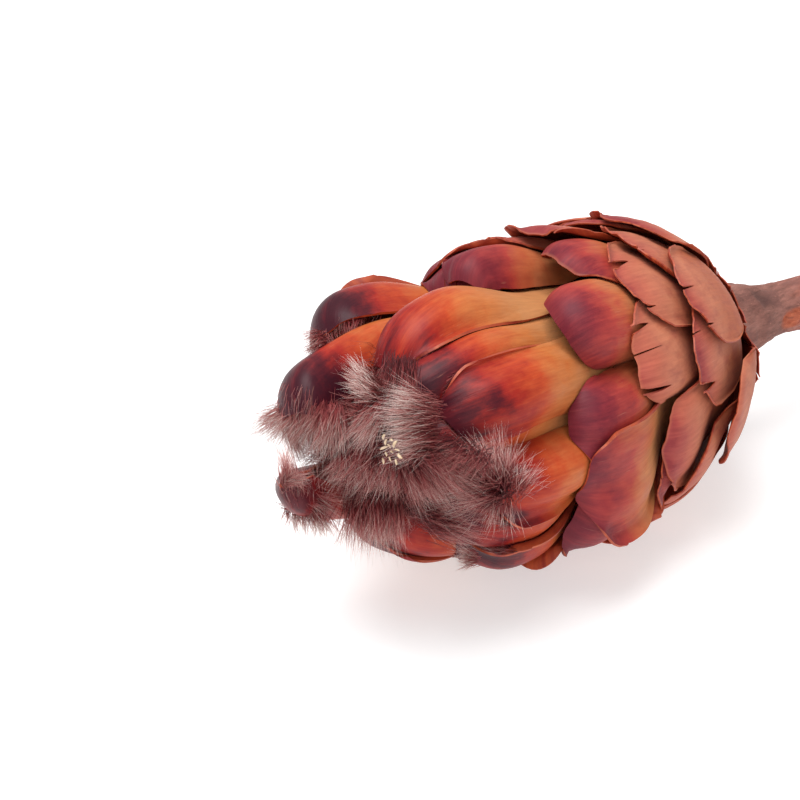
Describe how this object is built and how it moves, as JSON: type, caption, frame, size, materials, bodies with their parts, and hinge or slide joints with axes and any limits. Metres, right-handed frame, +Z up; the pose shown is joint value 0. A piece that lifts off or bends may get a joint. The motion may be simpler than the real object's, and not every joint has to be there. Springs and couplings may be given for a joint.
{
  "type": "dried protea",
  "caption": "Dried protea flower head of overlapping cupped bracts with furry tips, on a cut woody stem with a knot, lying on its side.",
  "frame": {"origin": "middle of the underside of the flower's bounding box, on the surface it lies on", "axes": "+X along the flower from the head towards the cut end of the stem, +Z up, +Y across"},
  "size_m": [0.35, 0.0594, 0.0586],
  "materials": {
    "stem_bark": "matte",
    "dry_florets": "matte",
    "bract_outer": "matte",
    "bract_middle": "satin",
    "bract_long": "satin"
  },
  "bodies": {
    "root": {"stem": "stem_bark", "floret_mass": "dry_florets", "basal_scales": "bract_outer", "bract_01": "bract_outer", "bract_02": "bract_outer", "bract_03": "bract_outer", "bract_04": "bract_outer", "bract_05": "bract_outer", "bract_06": "bract_outer", "bract_07": "bract_outer", "bract_08": "bract_outer", "bract_09": "bract_outer", "bract_10": "bract_outer", "bract_11": "bract_outer", "bract_12": "bract_outer", "bract_13": "bract_outer", "bract_14": "bract_outer", "bract_15": "bract_outer", "bract_16": "bract_middle", "bract_17": "bract_middle", "bract_18": "bract_middle", "bract_19": "bract_middle", "bract_20": "bract_middle", "bract_21": "bract_middle", "bract_22": "bract_middle", "bract_23": "bract_middle", "bract_24": "bract_middle", "bract_25": "bract_middle", "bract_26": "bract_middle", "bract_27": "bract_middle", "bract_28": "bract_middle", "bract_29": "bract_middle", "bract_30": "bract_middle", "bract_31": "bract_middle", "bract_32": "bract_middle", "bract_33": "bract_middle", "bract_34": "bract_middle", "bract_35": "bract_middle", "bract_36": "bract_middle", "bract_37": "bract_middle", "bract_38": "bract_middle", "bract_39": "bract_middle", "bract_40": "bract_middle", "bract_41": "bract_middle", "bract_42": "bract_long", "bract_43": "bract_long", "bract_44": "bract_long", "bract_45": "bract_long", "bract_46": "bract_long", "bract_47": "bract_long", "bract_48": "bract_long", "bract_49": "bract_long", "bract_50": "bract_long", "bract_51": "bract_long", "bract_52": "bract_long", "bract_53": "bract_long", "bract_54": "bract_long", "bract_55": "bract_long", "bract_56": "bract_long", "bract_57": "bract_long"}
  },
  "joints": []
}
